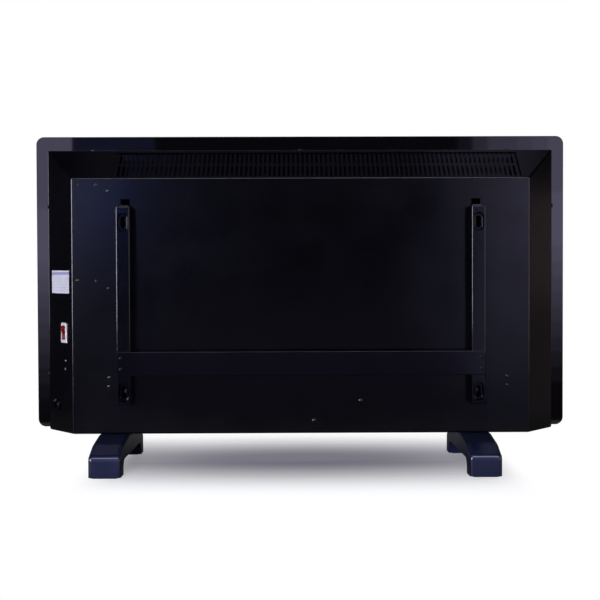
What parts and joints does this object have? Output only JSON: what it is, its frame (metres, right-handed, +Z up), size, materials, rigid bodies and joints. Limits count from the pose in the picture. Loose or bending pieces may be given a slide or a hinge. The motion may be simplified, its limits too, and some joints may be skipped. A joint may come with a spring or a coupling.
{
  "type": "glass panel heater",
  "caption": "Free-standing electric panel heater: black glass front, folded steel case with a slotted outlet, moulded feet, a side rocker switch and a hooked wall bracket.",
  "frame": {"origin": "on the floor, under the middle of the glass and midway along the feet", "axes": "+X along the glass towards the switch end, +Y backwards from the glass to the wall bracket, +Z up"},
  "size_m": [0.83, 0.24, 0.511],
  "materials": {
    "black_glass": "polished, printed black on the back",
    "black_paint": "gloss black stoved paint",
    "bracket_paint": "gloss black stoved paint",
    "foot_plastic": "satin moulded plastic",
    "black_plastic": "fine satin",
    "white_plastic": "gloss moulded plastic",
    "red_plastic": "translucent gloss plastic",
    "pad_rubber": "matt rubber",
    "foam_tape": "black foam",
    "zinc_steel": "zinc plated",
    "bare_steel": "galvanised sheet",
    "element_aluminium": "extruded",
    "bush_ceramic": "unglazed",
    "board_laminate": "coated board",
    "tab_brass": "stamped"
  },
  "bodies": {
    "heater": {"front_glass": "black_glass", "glass_tape": "foam_tape", "front_chassis": "black_paint", "display_module": "black_plastic", "display_board": "board_laminate", "display_spacers": "white_plastic", "heat_shield": "element_aluminium", "thermal_cutout": "black_plastic", "heating_element": "element_aluminium", "element_rod": "zinc_steel", "element_bush_left": "bush_ceramic", "element_bush_right": "bush_ceramic", "element_bracket_left": "bare_steel", "element_bracket_right": "bare_steel", "control_box": "black_plastic", "control_lid": "black_plastic", "power_board": "board_laminate", "board_parts": "black_plastic", "tip_switch": "black_plastic", "room_sensor": "white_plastic", "terminal_block": "white_plastic", "cord_gland": "black_plastic", "switch_body": "white_plastic", "switch_tabs": "tab_brass", "rear_case": "black_paint", "top_grille": "black_paint", "bottom_grille": "black_paint", "case_rivets": "black_paint", "rim_screws": "black_paint", "foot_left": "foot_plastic", "foot_right": "foot_plastic", "foot_pads": "pad_rubber", "foot_plates": "bare_steel", "foot_screws": "zinc_steel", "hook_left": "black_paint", "hook_right": "black_paint", "lock_screws": "zinc_steel"},
    "rocker": {"power_rocker": "red_plastic"},
    "wall_bracket": {"upright_left": "bracket_paint", "upright_right": "bracket_paint", "cross_bar": "bracket_paint", "bracket_rivets": "bracket_paint"}
  },
  "joints": [
    {"name": "rocker_pivot", "type": "hinge", "parent": "heater", "child": "rocker", "pos_m": [0.36187, 0.01413, 0.2056], "axis": [0.6593, -0.7519, 0], "range_deg": [0, 20]},
    {"name": "bracket_unhook", "type": "slide", "parent": "heater", "child": "wall_bracket", "axis": [0, 0, -1], "range_m": [0, 0.012]}
  ]
}
